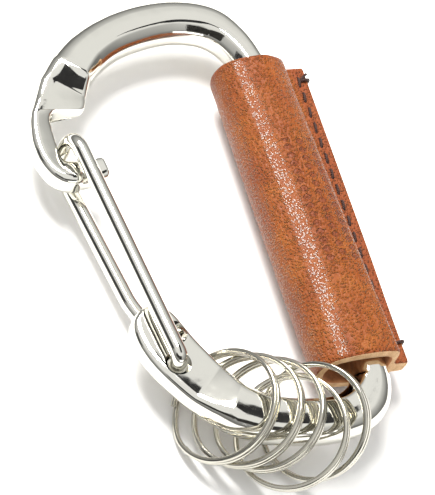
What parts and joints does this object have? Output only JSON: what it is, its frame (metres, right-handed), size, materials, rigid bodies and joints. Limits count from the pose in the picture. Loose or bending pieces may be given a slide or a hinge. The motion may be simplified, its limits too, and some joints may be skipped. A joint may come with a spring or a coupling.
{
  "type": "carabiner key ring",
  "caption": "Pocket carabiner key holder: heavy bevelled metal hook with a sprung wire gate, a stitched leather sleeve on its spine and split rings on its lower bar.",
  "frame": {"origin": "under the middle of the whole holder, at the level of the lowest point of its split rings", "axes": "+Z out of the carabiner's own plane towards its front face, +Y from the ring bar towards the top arc, +X towards the leather-covered spine"},
  "size_m": [0.057, 0.0992, 0.0159],
  "materials": {
    "nickel": "polished nickel plate on a cast body",
    "nickel_wire": "polished nickel plated spring wire",
    "leather": "waxed cognac leather with a fine grain and raw tan edges",
    "thread": "waxed dark brown thread",
    "ring_steel": "nickel plated flattened ring wire"
  },
  "bodies": {
    "carabiner": {"carabiner_body": "nickel", "leather_sleeve": "leather", "seam_thread": "thread"},
    "gate": {"wire_gate": "nickel_wire"},
    "ring_1": {"split_ring_1": "ring_steel"},
    "ring_2": {"split_ring_2": "ring_steel"},
    "ring_3": {"split_ring_3": "ring_steel"},
    "ring_4": {"split_ring_4": "ring_steel"},
    "ring_5": {"split_ring_5": "ring_steel"}
  },
  "joints": [
    {"name": "gate_hinge", "type": "hinge", "parent": "carabiner", "child": "gate", "pos_m": [-0.01453, -0.02572, 0.0085], "axis": [0, 0, -1], "range_deg": [0, 24], "stiffness_Nm_per_rad": 0.35, "springref_deg": -11.46},
    {"name": "ring_1_tilt", "type": "hinge", "parent": "carabiner", "child": "ring_1", "pos_m": [-0.00753, -0.03322, 0.0076], "axis": [-0.5411, -0.7215, -0.4319], "range_deg": [0, 45]},
    {"name": "ring_2_tilt", "type": "hinge", "parent": "carabiner", "child": "ring_2", "pos_m": [-0.00403, -0.03472, 0.008], "axis": [-0.449, -0.8406, -0.303], "range_deg": [0, 45]},
    {"name": "ring_3_tilt", "type": "hinge", "parent": "carabiner", "child": "ring_3", "pos_m": [-0.00053, -0.03602, 0.0081], "axis": [-0.3244, -0.9239, -0.2027], "range_deg": [0, 45]},
    {"name": "ring_4_tilt", "type": "hinge", "parent": "carabiner", "child": "ring_4", "pos_m": [0.00257, -0.03952, 0.0076], "axis": [-0.1669, -0.9669, -0.1932], "range_deg": [0, 45]},
    {"name": "ring_5_tilt", "type": "hinge", "parent": "carabiner", "child": "ring_5", "pos_m": [0.00707, -0.03832, 0.0079], "axis": [-0.0757, -0.9441, -0.3209], "range_deg": [0, 45]}
  ],
  "couplings": [
    {"joint": "ring_2_tilt", "follows": "ring_1_tilt", "ratio": 1},
    {"joint": "ring_3_tilt", "follows": "ring_1_tilt", "ratio": 1},
    {"joint": "ring_4_tilt", "follows": "ring_1_tilt", "ratio": 1},
    {"joint": "ring_5_tilt", "follows": "ring_1_tilt", "ratio": 1}
  ]
}
